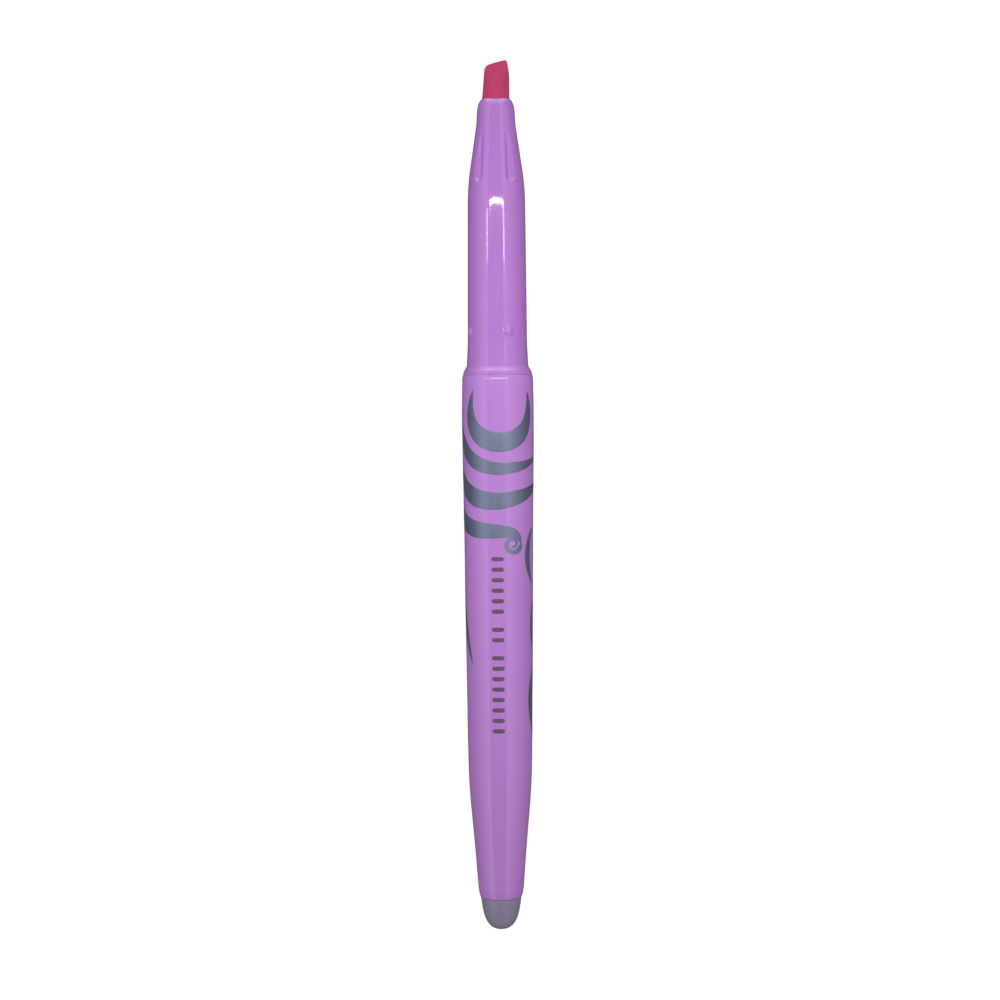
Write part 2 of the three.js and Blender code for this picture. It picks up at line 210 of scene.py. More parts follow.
class StageSettings(bpy.types.PropertyGroup):
    """Camera and light."""

    lens: FloatProperty(name="Lens", default=81.25, description="Focal length", subtype="DISTANCE_CAMERA")
    height: length_property("Camera height", 342.3, "Distance from the pen's axis to the camera")
    station: length_property("Camera station", 48.74, "Station that the camera stands over")
    aside: length_property("Camera aside", 0.35, "How far the camera stands to the right of the pen's axis")
    pitch: FloatProperty(name="Pitch", default=math.radians(-2.92), description="Tilt", subtype="ANGLE")
    roll: FloatProperty(name="Roll", default=math.radians(-0.4), description="Roll", subtype="ANGLE")
    sky: FloatProperty(name="Sky", default=0.4, min=0, description="Strength of the soft light all round")
    fill: FloatProperty(name="Fill", default=0.0274, min=0, description="Power of the fill lamp over the pen")


# ---------- shapes and meshes


def spline(knots, stations):
    """Radius at each station on the natural cubic spline through (station, radius) knots.

    The second derivative at each inner knot solves the usual tridiagonal equations, and is 0 at both ends.
    """
    at, radius = np.array(knots, float).T
    gap = np.diff(at)
    slope = np.diff(radius) / gap
    matrix = np.eye(len(at))
    right = np.zeros(len(at))
    inner = np.arange(1, len(at) - 1)
    matrix[inner, inner - 1] = gap[:-1]
    matrix[inner, inner] = 2 * (gap[:-1] + gap[1:])
    matrix[inner, inner + 1] = gap[1:]
    right[inner] = 6 * np.diff(slope)
    bend = np.linalg.solve(matrix, right)
    i = np.clip(np.searchsorted(at, stations) - 1, 0, len(gap) - 1)
    before, after = stations - at[i], at[i + 1] - stations
    cubic = (bend[i] * after**3 + bend[i + 1] * before**3) / (6 * gap[i])
    start = radius[i] / gap[i] - bend[i] * gap[i] / 6
    end = radius[i + 1] / gap[i] - bend[i + 1] * gap[i] / 6
    return cubic + start * after + end * before


def bezier(*controls, count=12):
    """Points of the Bezier curve with those control points, from de Casteljau's repeated mixing."""
    t = np.linspace(0, 1, count)[:, None]
    layers = [np.array(point, float) + 0 * t for point in controls]
    while len(layers) > 1:
        layers = [(1 - t) * a + t * b for a, b in zip(layers, layers[1:])]
    return layers[0]


def rounded(corners, looped=False):
    """Line through (station, radius, rounding) corners.

    A corner is cut back by its rounding along both of its sides and bridged with a parabola, and a support
    point stands beyond each end of the bridge, so that smooth shading stays inside it.
    """
    places = np.array([corner[:2] for corner in corners], float)
    line = []
    for i, (here, corner) in enumerate(zip(places, corners)):
        if (not looped and i in (0, len(places) - 1)) or corner[2] == 0:
            line.append(here[None])
            continue
        sides = places[i - 1] - here, places[(i + 1) % len(places)] - here
        lengths = [np.linalg.norm(side) for side in sides]
        cut = min(corner[2], 0.45 * min(lengths))
        ends = [here + side / length * cut for side, length in zip(sides, lengths)]
        beyond = [min(1.8 * cut, 0.49 * length) for length in lengths]
        supports = [here + side / length * far for side, length, far in zip(sides, lengths, beyond)]
        line += [supports[0][None], bezier(ends[0], here, ends[1], count=5), supports[1][None]]
    return np.concatenate(line)


def stepped(line, step):
    """The same line with more points on it, so that no two along the stations are further apart than step."""
    pieces = []
    for a, b in zip(line[:-1], line[1:]):
        count = max(1, math.ceil(abs(b[0] - a[0]) / step))
        pieces.append(a + (b - a) * (np.arange(count) / count)[:, None])
    return np.concatenate([*pieces, line[-1:]])


def columns(count, centres=(), reach=0.2, crowding=3.0):
    """Angles round the axis, closer together within reach of the centres.

    They are equal steps of the running sum of a density that is 1, and 1 + crowding at a centre.
    """
    fine = np.linspace(0, 2 * math.pi, 7200)
    density = np.ones_like(fine)
    for centre in centres:
        away = (fine - centre + math.pi) % (2 * math.pi) - math.pi
        density += crowding * np.exp(-((away / reach) ** 4))
    running = np.concatenate([[0], np.cumsum((density[1:] + density[:-1]) / 2)])
    return np.interp(np.arange(count) / count, running / running[-1], fine)


def off_nearest(angle, count, phase):
    """Angle from the nearest of count centres spread evenly round the axis from phase."""
    pitch = 2 * math.pi / count
    return (angle - phase + pitch / 2) % pitch - pitch / 2


def above(value, softness):
    """Value where it is positive and 0 where it is negative, with a smooth bend of that softness between."""
    return (value + np.sqrt(value**2 + softness**2)) / 2


def step_between(value, low, high):
    """Smooth step from 0 at low to 1 at high."""
    t = np.clip((value - low) / (high - low), 0, 1)
    return t * t * (3 - 2 * t)


def turned(outline, angles, relief=None):
    """Rings of a surface of revolution.

    Ring i lies at the outline's station i, and its radius at each angle is the outline's radius, or what
    relief(station, radius, angle) makes of it. X is radius times sine and Z radius times cosine.
    """
    station, radius = outline[:, :1], outline[:, 1:2]
    if relief:
        radius = relief(station, radius, angles)
    radius = radius + 0 * angles
    return np.stack([radius * np.sin(angles), station + 0 * radius, radius * np.cos(angles)], -1)


def tube_shell(rings):
    """Vertices and faces of rings whose last joins the first, as in a tube with a wall."""
    rows, across = rings.shape[:2]
    index = np.arange(rows * across).reshape(rows, across)
    lower, upper = index, np.roll(index, -1, 0)
    quads = np.stack([lower, np.roll(lower, -1, 1), np.roll(upper, -1, 1), upper], -1)
    return rings.reshape(-1, 3), quads.reshape(-1, 4), np.empty((0, 3), int)


def capped_shell(rings):
    """Vertices and faces of rings closed at each end by a fan round the end ring's middle."""
    rows, across = rings.shape[:2]
    index = np.arange(rows * across).reshape(rows, across)
    lower, upper = index[:-1], index[1:]
    quads = np.stack([lower, np.roll(lower, -1, 1), np.roll(upper, -1, 1), upper], -1)
    middles = rings[[0, -1]].mean(1)
    front, back = rows * across, rows * across + 1
    first, last = index[0], index[-1]
    fans = np.concatenate([
        np.stack([np.roll(first, -1), first, np.full(across, front)], -1),
        np.stack([last, np.roll(last, -1), np.full(across, back)], -1),
    ])
    return np.concatenate([rings.reshape(-1, 3), middles]), quads.reshape(-1, 4), fans


def joined(shells):
    """Several shells as one set of vertices and faces."""
    starts = np.cumsum([0] + [len(shell[0]) for shell in shells[:-1]])
    points = np.concatenate([shell[0] for shell in shells])
    quads = np.concatenate([shell[1] + start for shell, start in zip(shells, starts)])
    fans = np.concatenate([shell[2] + start for shell, start in zip(shells, starts)])
    return points, quads, fans


def make_piece(name, shell, material, body, node=None):
    """Puts a shell into a mesh at its place in the frame, facing out, and rides it on a body of the frame."""
    points, quads, fans = shell
    place = np.stack([points[:, 0] * MM, TIP_Y - points[:, 1] * MM, AXIS_Z + points[:, 2] * MM], -1)
    triangles = np.concatenate([quads[:, [0, 1, 2]], quads[:, [0, 2, 3]], fans])
    a, b, c = (place[triangles[:, i]] for i in range(3))
    if (a * np.cross(b, c)).sum() < 0:
        quads, fans = quads[:, ::-1], fans[:, ::-1]
    mesh = bpy.data.meshes.new(name)
    mesh.vertices.add(len(place))
    mesh.vertices.foreach_set("co", place.astype(np.float32).ravel())
    corners = np.concatenate([quads.ravel(), fans.ravel()]).astype(np.int32)
    mesh.loops.add(len(corners))
    mesh.loops.foreach_set("vertex_index", corners)
    sizes = np.concatenate([np.full(len(quads), 4), np.full(len(fans), 3)])
    mesh.polygons.add(len(sizes))
    mesh.polygons.foreach_set("loop_start", (np.cumsum(sizes) - sizes).astype(np.int32))
    mesh.update(calc_edges=True)
    if mesh.validate():
        raise RuntimeError(f"the mesh of {name} is not sound")
    mesh.shade_smooth()
    mesh.materials.append(material)
    piece = bpy.data.objects.new(name, mesh)
    bpy.context.scene.collection.objects.link(piece)
    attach(piece, body)
    if node:
        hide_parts(node)
    return piece


# ---------- materials


def feed(node, inputs):
    """Sets each of a node's inputs to a value, or links it from a socket."""
    for key, value in inputs.items():
        if isinstance(value, bpy.types.NodeSocket):
            node.id_data.links.new(value, node.inputs[key])
        else:
            node.inputs[key].default_value = value


def add_node(tree, kind, inputs=None, **settings):
    """Adds a node with its settings and its inputs."""
    made = tree.nodes.new(kind)
    for key, value in settings.items():
        setattr(made, key, value)
    feed(made, inputs or {})
    return made


def start_material(name, **inputs):
    """New material with one Principled shader, and the shader."""
    material = bpy.data.materials.new(name)
    material.use_nodes = True
    material.node_tree.nodes.clear()
    shader = add_node(material.node_tree, "ShaderNodeBsdfPrincipled", inputs)
    add_node(material.node_tree, "ShaderNodeOutputMaterial", {"Surface": shader.outputs["BSDF"]})
    return material, shader


# Noise seldom leaves this span, which is stretched to the whole range that a look needs.
NOISE_SPAN = {"From Min": 0.3, "From Max": 0.7}


def grain(tree, across, along=None, detail=2.0, offset=0.0):
    """Noise from 0 to 1 on Object coordinates, in blotches across x along millimetres."""
    place = add_node(tree, "ShaderNodeTexCoord").outputs["Object"]
    fine = 1 / (across * MM)
    scale = (fine, 1 / ((along or across) * MM), fine)
    moved = {"Vector": place, "Location": (offset, offset, offset), "Scale": scale}
    spread = add_node(tree, "ShaderNodeMapping", moved)
    noise = {"Vector": spread.outputs["Vector"], "Scale": 1.0, "Detail": detail}
    return add_node(tree, "ShaderNodeTexNoise", noise).outputs["Fac"]


def shaded(colour, factor):
    """The colour made darker or lighter by a factor."""
    return (*(min(1.0, channel * factor) for channel in colour[:3]), 1.0)


def moulded_polypropylene(name, colour, gloss):
    """Polypropylene, injection moulded in a polished tool.

    It gives a clean gloss with a faint orange peel, a little light bleeding under the skin, slightly
    cloudy pigment, and dull patches where it is handled.
    """
    material, shader = start_material(name, **{
        "IOR": 1.49, "Subsurface Weight": 0.12,
        "Subsurface Radius": (1.0, 0.7, 1.0), "Subsurface Scale": 0.6 * MM})
    tree = material.node_tree
    cloud = add_node(tree, "ShaderNodeMapRange", {"Value": grain(tree, 6.0, 14.0), **NOISE_SPAN})
    pigment = add_node(tree, "ShaderNodeMix", data_type="RGBA", inputs={
        "Factor": cloud.outputs["Result"], 6: shaded(colour, 0.975), 7: shaded(colour, 1.02)})
    handled = grain(tree, 1.4, 4.0, detail=4.0)
    worn = add_node(tree, "ShaderNodeMapRange", {
        "Value": handled, **NOISE_SPAN, "To Min": gloss, "To Max": gloss + 0.05})
    # The peel is about 0.8 mm from crest to crest.
    peel = add_node(tree, "ShaderNodeBump", {
        "Height": grain(tree, 0.8, 1.6), "Strength": 1.0, "Distance": 0.0016 * MM})
    feed(shader, {
        "Base Color": pigment.outputs[2], "Roughness": worn.outputs["Result"],
        "Normal": peel.outputs["Normal"]})
    return material


def bonded_fibre(name, dark, light, width, sheen):
    """Polyester or acrylic fibre bonded into a rod and soaked with ink.

    It gives a dull surface of fine fibres that run along the pen, lighter and darker in random streaks and
    blotches.
    """
    material, shader = start_material(name, **{
        "IOR": 1.45, "Roughness": 0.82, "Sheen Weight": sheen, "Sheen Roughness": 0.5,
        "Subsurface Weight": 0.15, "Subsurface Radius": (1.0, 0.35, 0.5), "Subsurface Scale": 0.5 * MM})
    tree = material.node_tree
    fibre = grain(tree, width, width * 22, detail=4.0)
    blotch = grain(tree, 1.6, 2.4, offset=0.37)
    both = add_node(tree, "ShaderNodeMath", {0: fibre, 1: blotch}, operation="ADD")
    share = add_node(tree, "ShaderNodeMapRange", {
        "Value": both.outputs["Value"], "From Min": 0.8, "From Max": 1.2})
    ink = add_node(tree, "ShaderNodeMix", data_type="RGBA", inputs={
        "Factor": share.outputs["Result"], 6: dark, 7: light})
    strands = add_node(tree, "ShaderNodeBump", {"Height": fibre, "Strength": 1.0, "Distance": 0.02 * MM})
    feed(shader, {"Base Color": ink.outputs[2], "Normal": strands.outputs["Normal"]})
    return material


def frosted_elastomer(colour):
    """Clear thermoplastic rubber, moulded in a blasted tool and tinted grey.

    It gives a milky, half see-through tip with a soft sheen, a fine tooth and a few rubbed patches.
    """
    material, shader = start_material("frosted_elastomer_eraser", **{
        "IOR": 1.5, "Subsurface Weight": 0.7,
        "Subsurface Radius": (1.0, 0.95, 1.05), "Subsurface Scale": 1.5 * MM})
    tree = material.node_tree
    milk = add_node(tree, "ShaderNodeMapRange", {"Value": grain(tree, 1.8, 2.6), **NOISE_SPAN})
    tint = add_node(tree, "ShaderNodeMix", data_type="RGBA", inputs={
        "Factor": milk.outputs["Result"], 6: shaded(colour, 0.94), 7: shaded(colour, 1.05)})
    patches = grain(tree, 0.9, 1.2, offset=0.6)
    rubbed = add_node(tree, "ShaderNodeMapRange", {
        "Value": patches, **NOISE_SPAN, "To Min": 0.34, "To Max": 0.52})
    tooth = add_node(tree, "ShaderNodeBump", {
        "Height": grain(tree, 0.14, detail=3.0), "Strength": 1.0, "Distance": 0.006 * MM})
    feed(shader, {
        "Base Color": tint.outputs[2],
        "Roughness": rubbed.outputs["Result"],
        "Normal": tooth.outputs["Normal"]})
    return material


def metallic_pad_print(name, colour, metal):
    """Pad-printed ink, with aluminium flake in the silver one, thin enough to follow the barrel.

    It gives a satin grey film that catches the light in flecks and is uneven where the pad pressed less.
    """
    material, shader = start_material(name, **{"IOR": 1.5, "Metallic": metal})
    tree = material.node_tree
    # Flakes are 0.03 mm across; they are drawn 0.12 mm across, so that they show.
    flake = add_node(tree, "ShaderNodeMapRange", {
        "Value": grain(tree, 0.12, detail=3.0), "From Min": 0.35, "From Max": 0.65})
    tint = add_node(tree, "ShaderNodeMix", data_type="RGBA", inputs={
        "Factor": flake.outputs["Result"], 6: shaded(colour, 0.88), 7: shaded(colour, 1.12)})
    pressure = grain(tree, 1.4, 3.0, offset=0.2)
    pressed = add_node(tree, "ShaderNodeMapRange", {
        "Value": pressure, **NOISE_SPAN, "To Min": 0.3, "To Max": 0.42})
    lift = add_node(tree, "ShaderNodeBump", {
        "Height": flake.outputs["Result"], "Strength": 1.0, "Distance": 0.0012 * MM})
    feed(shader, {
        "Base Color": tint.outputs[2],
        "Roughness": pressed.outputs["Result"],
        "Normal": lift.outputs["Normal"]})
    return material


def clear_polyester_film():
    """Polyester film wrapped round the reservoir.

    It gives a thin clear skin with bright edges and long faint wrinkles from the wrapping machine.
    """
    material, shader = start_material("clear_polyester_film", **{
        "Base Color": linear("#F4EEF6"), "IOR": 1.5, "Transmission Weight": 1.0})
    tree = material.node_tree
    wrinkles = add_node(tree, "ShaderNodeBump", {
        "Height": grain(tree, 1.2, 16.0), "Strength": 1.0, "Distance": 0.03 * MM})
    streaks = grain(tree, 2.0, 9.0, offset=0.5)
    rubbed = add_node(tree, "ShaderNodeMapRange", {
        "Value": streaks, **NOISE_SPAN, "To Min": 0.03, "To Max": 0.12})
    feed(shader, {"Roughness": rubbed.outputs["Result"], "Normal": wrinkles.outputs["Normal"]})
    return material


def natural_polyethylene(name, colour, bleed):
    """Uncoloured or white polyethylene, extruded or moulded.

    It gives a waxy, milky white with a dull shine and faint flow marks.
    """
    material, shader = start_material(name, **{
        "IOR": 1.51, "Subsurface Weight": bleed,
        "Subsurface Radius": (1.0, 1.0, 1.0), "Subsurface Scale": 0.8 * MM})
    tree = material.node_tree
    flow = add_node(tree, "ShaderNodeMapRange", {"Value": grain(tree, 0.9, 5.0), **NOISE_SPAN})
    tint = add_node(tree, "ShaderNodeMix", data_type="RGBA", inputs={
        "Factor": flow.outputs["Result"], 6: shaded(colour, 0.95), 7: colour})
    shine = add_node(tree, "ShaderNodeMapRange", {
        "Value": flow.outputs["Result"], "To Min": 0.36, "To Max": 0.5})
    wax = add_node(tree, "ShaderNodeBump", {
        "Height": grain(tree, 0.4, 1.6, offset=0.8), "Strength": 1.0, "Distance": 0.004 * MM})
    feed(shader, {
        "Base Color": tint.outputs[2],
        "Roughness": shine.outputs["Result"],
        "Normal": wax.outputs["Normal"]})
    return material


# ---------- outer shapes

BARREL_KNOTS = [
    (SEAM_AT + MOUTH_EDGE, MOUTH_EDGE_BASE + MOUTH_EDGE_HEIGHT), (51.5, BARREL_RADIUS),
    (60, 5.38), (68, 5.27), (86, 5.11), (99, 4.95), (105.5, 4.87),
    (109, 4.765), (113, 4.5), (117, 4.14), (121, 3.81), RIM_ROUND,
]
CHAMBER_WALL = [(120.6, 2.86), (117, 3.16), (110.6, 3.62), (104.4, 3.95), (70, CHAMBER)]


def barrel_radius(stations):
    """Outside radius of the barrel: a spline from the mouth's edge to the rounding of the tail's rim."""
    return spline(BARREL_KNOTS, stations)


def nib_reach(direction, centre):
    """How far the nib's surface is from a point on its axis, in each direction.

    The chisel is the space that lies under the slanted top, between two bevels, within the left and right
    sides, inside the planes that round off the two corners, and inside the rod. A ray stops at whichever
    it meets first, and a high power mean of the distances rounds the edges between them.
    """
    slant, draft = math.radians(15.5), math.radians(5)
    half_edge, bevel_end = 0.5, 3.8
    high_x, high_round = 1.44, 0.3
    low_x, low_round = -0.69, 1.0
    drop = math.tan(slant) * (high_x - low_x) + (low_round - high_round) / math.cos(slant)
    bevel = math.atan2(NIB_RADIUS - half_edge, bevel_end)
    sine, cosine = math.sin(bevel), math.cos(bevel)
    planes = [((0, -sine, side * cosine), half_edge * cosine) for side in (1, -1)]
    top = math.pi / 2 + slant
    high_turns = (2 * draft, math.radians(40), math.radians(75), top)
    low_turns = (top + 0.2, top + 0.45, top + 0.7, top + 0.95, math.pi - draft)
    for x, back, size, turns in (
        (high_x, high_round, high_round, high_turns), (low_x, high_round + drop, low_round, low_turns),
    ):
        for turn in turns:
            across, ahead = math.cos(turn), math.sin(turn)
            planes.append(((across, -ahead, 0), across * x - ahead * back + size))
    # The side under the high corner leans in towards the edge.
    lean, side_reach = 0.045, 2.005
    planes.append(((math.cos(lean), -math.sin(lean), 0), side_reach))
    x, back, z = direction
    nearness = [np.hypot(x, z) / NIB_RADIUS]
    for (a, b, c), offset in planes:
        facing = a * x + b * back + c * z
        nearness.append(np.maximum(facing, 1e-9) / (offset - b * centre))
    nearness = np.stack(nearness)
    nearest = nearness.max(0)
    power = 90
    return 1 / (nearest * ((nearness / nearest) ** power).sum(0) ** (1 / power))


def nib_shell():
    """The nib: rays from a point inside the chisel, then rings of the rod back to its sharpened end."""
    centre = 5.4
    angles = columns(288)
    tilt = np.concatenate([np.linspace(0.006, 0.36, 60), np.linspace(0.36, math.pi / 2, 78)[1:]])[:, None]
    direction = np.sin(tilt) * np.sin(angles), -np.cos(tilt) + 0 * angles, np.sin(tilt) * np.cos(angles)
    reach = nib_reach(direction, centre)
    chisel = np.stack([direction[0] * reach, centre + direction[1] * reach, direction[2] * reach], -1)
    point = [(24, NIB_RADIUS, 0.8), (NIB_LENGTH, NIB_POINT_RADIUS, 0.25), (NIB_LENGTH, 0.02, 0)]
    line = rounded([(centre + 0.4, NIB_RADIUS, 0), *point])
    rod = turned(stepped(line, 1.2), angles)
    return capped_shell(np.concatenate([chisel, rod]))


def section_relief(sizes):
    """Relief of the front section: flutes and cap nubs outside, and ribs that hold the nib inside.

    A flute is the groove that a round-bottomed cutter leaves as its floor drops below the cone, and half
    an ellipse closes its back end. A nub is the cap of an ellipsoid. A rib is a bar with parallel sides.
    """
    flute = sizes.flute_radius / MM
    nub, height = sizes.nub_radius / MM, sizes.nub_height / MM
    floor_slope = (FLUTE_FLOOR_REAR - FLUTE_FLOOR_FRONT) / (FLUTE_REAR_AT - FLUTE_FRONT_AT)
    rib_phase = FLUTE_PHASE + math.pi / sizes.flute_count

    def relief(station, radius, angle):
        # Wherever there are flutes or nubs, the bores lie within this radius.
        bore_limit = np.maximum(2.6, 3.6 - 0.11 * np.maximum(30 - station, 0))
        outside = (radius > bore_limit) & (station < SEAM_AT)
        side = radius * np.sin(off_nearest(angle, sizes.flute_count, FLUTE_PHASE))
        away = np.hypot(side, 0.8 * np.maximum(station - FLUTE_REAR_AT, 0))
        floor = FLUTE_FLOOR_FRONT + (station - FLUTE_FRONT_AT) * floor_slope
        wall = flute - np.sqrt(np.maximum(flute**2 - away**2, 0)) + 4 * np.maximum(away - flute, 0)
        groove = above(radius - floor - wall, 0.02) * (station < 20)
        side = radius * np.sin(off_nearest(angle, sizes.nub_count, NUB_PHASE))
        away = np.hypot(side, station - NUBS_AT) / nub
        ball = (height + NUB_SUNK) * np.sqrt(np.maximum(1 - away**2, 0))
        bump = above(ball - NUB_SUNK, 0.02) * (away < 1.4)
        side = np.abs(radius * np.sin(off_nearest(angle, sizes.flute_count, rib_phase)))
        along = step_between(station, NOSE_BORE_AT, 12.8) * (1 - step_between(station, 22.0, 22.3))
        rib = (1 - step_between(side, 0.26, 0.36)) * along * (radius < 2.6) * (radius - NIB_BORE)
        return np.where(outside, radius - groove + bump, radius - rib)

    return relief


def section_shell(sizes):
    """The front section: nose, cone, sleeve and shoulder outside, spigot behind, and two bores inside."""
    face = SEAM_AT - SEAM_GAP
    collar = (face - 0.03, 5.243)
    lip = bezier((LIP_AT, NIB_BORE + 0.05), (6.2, 2.68), NOSE_TIP, count=14)
    cone = rounded([(*NOSE_TIP, 0), (9.8, 2.975, 0.25), (*CONE_END, 0)])
    turn = bezier(CONE_END, (18.9, 4.325), SLEEVE_FRONT, count=16)
    sleeve = rounded([(*SLEEVE_FRONT, 0), (42.5, 4.49, 0.8), (*SHOULDER, 0)])
    shoulder = bezier(SHOULDER, (46.0, 4.705), (46.25, 4.86), count=9)
    ridge = bezier((46.5, 5.015), (46.8, 5.2), collar, count=9)
    outside = np.concatenate([cone, turn[1:], sleeve[1:]])
    at = np.concatenate([
        np.arange(7.7, 10.2, 0.25), np.arange(10.25, 18.9, 0.105), np.arange(19.2, 39.5, 0.9),
        np.arange(39.65, 41.8, 0.11), np.arange(42.0, 45.7, 0.3), [45.73],
    ])
    skin = np.stack([at, np.interp(at, outside[:, 0], outside[:, 1])], -1)
    back = rounded([
        (*collar, 0), (face, 5.22, 0.02), (face, BEAD_RADIUS, 0.05), (SEAM_AT + 1.8, BEAD_RADIUS, 0.06),
        (SEAM_AT + 2, SPIGOT_RADIUS, 0.08), (52.35, SPIGOT_RADIUS, 0.15), (52.8, BEAD_RADIUS, 0.15),
        (53.6, BEAD_RADIUS, 0.15), (54.05, SPIGOT_RADIUS, 0.15), (SPIGOT_END_AT - 0.5, SPIGOT_RADIUS, 0.1),
        (SPIGOT_END_AT, 3.9, 0.1), (SPIGOT_END_AT, SLEEVE_BORE, 0.08), (24.6, SLEEVE_BORE, 0.2),
        (22.4, NOSE_BORE, 0.2), (NOSE_BORE_AT, NOSE_BORE, 0.2), (11.8, NIB_BORE, 0.1),
        (LIP_AT + 0.1, NIB_BORE, 0.04),
    ])
    line = np.concatenate([lip, skin, shoulder, ridge, stepped(back[1:], 2.0)])
    flutes = [FLUTE_PHASE + 2 * math.pi * k / sizes.flute_count for k in range(sizes.flute_count)]
    return tube_shell(turned(line, columns(330, flutes, 0.27, 1.6), section_relief(sizes)))


def barrel_relief(station, radius, angle):
    """Ribs inside the barrel, bars with parallel sides that hold the reservoir clear of the wall."""
    chamber = (station > MOUTH_BORE_END_AT) & (station < 105)
    inside = chamber & (radius < 4.3) & (radius > BARREL_RIB_CREST + 0.01)
    side = np.abs(radius * np.sin(off_nearest(angle, BARREL_RIBS, 0.0)))
    along = step_between(station, 57.6, 58.6) * (1 - step_between(station, 103.4, 104.2))
    rib = (1 - step_between(side, 0.25, 0.38)) * along * (radius - BARREL_RIB_CREST)
    return np.where(inside, radius - rib, radius + 0 * angle)


def barrel_shell():
    """The barrel: rounded mouth, long taper and drawn-in tail outside, and mouth, chamber and stem bores."""
    turn = np.linspace(0.2, math.pi / 2, 9)
    mouth = np.stack([
        SEAM_AT + MOUTH_EDGE * (1 - np.cos(turn)), MOUTH_EDGE_BASE + MOUTH_EDGE_HEIGHT * np.sin(turn),
    ], -1)
    at = np.concatenate([np.arange(48.6, 52, 0.5), np.arange(52.5, 104, 1.3), np.arange(104, 125, 0.55)])
    skin = np.stack([at, barrel_radius(at)], -1)
    rim = bezier(RIM_ROUND, (126.3, 3.4), (RIM_AT - 0.03, 3.16), count=12)
    inside = rounded([
        (RIM_AT, 3.13, 0), (RIM_AT, STEM_BORE, 0.12), (122, STEM_BORE, 0.1),
        *[(*wall, 0.3) for wall in CHAMBER_WALL],
        (MOUTH_BORE_END_AT + 0.4, CHAMBER, 0.1), (MOUTH_BORE_END_AT, MOUTH_BORE, 0.1),
        (54.2, MOUTH_BORE, 0.15), (53.8, SNAP_GROOVE, 0.12), (52.6, SNAP_GROOVE, 0.12),
        (52.2, MOUTH_BORE, 0.15), (SEAM_AT, MOUTH_BORE, 0.1), (SEAM_AT, 5.21, 0),
    ])
    line = np.concatenate([mouth, skin, rim, stepped(inside[1:], 2.2)])
    ribs = [2 * math.pi * k / BARREL_RIBS for k in range(BARREL_RIBS)]
    return tube_shell(turned(line, columns(288, ribs, 0.12, 1.2), barrel_relief))


def eraser_shell():
    """The eraser: a stem with grip rings, a flange on the barrel's rim, and a blunt Bezier dome."""
    seat = RIM_AT + CLEARANCE
    ramp = RING_RADIUS - STEM_RADIUS
    corners = [(STEM_END_AT, 0.02, 0), (STEM_END_AT, 1.4, 0.2), (STEM_END_AT + 0.5, STEM_RADIUS, 0.2)]
    rise, fall = (ramp, RING_RADIUS), (RING_LENGTH - ramp, RING_RADIUS)
    ring = [(0, STEM_RADIUS), rise, fall, (RING_LENGTH, STEM_RADIUS)]
    for start in (116, 118.5, 124.5):
        corners += [(start + along, radius, 0.08) for along, radius in ring]
    corners += [(seat, STEM_RADIUS, 0.1), (seat, ERASER_RADIUS, 0)]
    dome = bezier((seat, ERASER_RADIUS), (129.8, 2.77), (TOTAL_LENGTH, 2.35), (TOTAL_LENGTH, 0.02), count=44)
    edge = [(seat, ERASER_RADIUS - 0.03), (seat + 0.01, ERASER_RADIUS - 0.01)]
    line = np.concatenate([stepped(rounded(corners), 1.0)[:-1], edge, dome[1:]])
    return capped_shell(turned(line, columns(160)))


# ---------- inner shapes


def reservoir_relief(station, radius, angle):
    """A slot along the top of the core for the breather tube: flat sides and a round bottom."""
    clear = BREATHER_RADIUS + CLEARANCE
    off_top = np.abs(radius * np.sin(angle))
    side = np.minimum(off_top, clear)
    bottom = (BREATHER_OFFSET - np.sqrt(np.maximum(clear**2 - side**2, 0))) / np.maximum(np.cos(angle), 0.5)
    depth = np.clip(radius - bottom, 0, None)
    open_side = (np.cos(angle) > 0) * (1 - step_between(off_top, clear - 0.06, clear))
    return radius - depth * open_side


def reservoir_shell():
    """The fibre core: a rod with a pocket for the nib's point and a slot along its top."""
    pocket_end = NIB_LENGTH + 0.3
    line = rounded([
        (pocket_end, 0.02, 0), (pocket_end, NIB_POINT_RADIUS + CLEARANCE, 0.1), (RESERVOIR_AT, 2.038, 0.1),
        (RESERVOIR_AT, RESERVOIR_RADIUS, 0.12), (RESERVOIR_END_AT, RESERVOIR_RADIUS, 0.12),
        (RESERVOIR_END_AT, 0.02, 0),
    ])
    angles = columns(200, [0.0, 2 * math.pi], 0.17, 6.0)
    return capped_shell(turned(stepped(line, 2.0), angles, reservoir_relief))


def film_relief(station, radius, angle):
    """The wrap's free edge: the film is doubled over a narrow lap beside the breather tube."""
    lap = step_between(angle, 0.35, 0.37) * (1 - step_between(angle, 0.72, 0.74))
    return radius + FILM_LAP_HEIGHT * lap * (radius > FILM_RADIUS - 0.04)


def film_shell():
    """The film: a thin tube round the core."""
    inner = FILM_RADIUS - FILM_THICKNESS
    line = rounded([
        (FILM_AT, inner, 0.02), (FILM_AT, FILM_RADIUS, 0.02),
        (FILM_END_AT, FILM_RADIUS, 0.02), (FILM_END_AT, inner, 0.02),
    ], looped=True)
    return tube_shell(turned(stepped(line, 4.0), columns(160, [0.36, 0.73], 0.05, 5.0), film_relief))


def breather_shell():
    """The breather tube: a thin tube that lies in the core's slot, above the pen's axis."""
    line = rounded([
        (RESERVOIR_AT, BREATHER_BORE, 0.03), (RESERVOIR_AT, BREATHER_RADIUS, 0.03),
        (RESERVOIR_END_AT, BREATHER_RADIUS, 0.03), (RESERVOIR_END_AT, BREATHER_BORE, 0.03),
    ], looped=True)
    rings = turned(stepped(line, 4.0), columns(40))
    rings[..., 2] += BREATHER_OFFSET
    return tube_shell(rings)


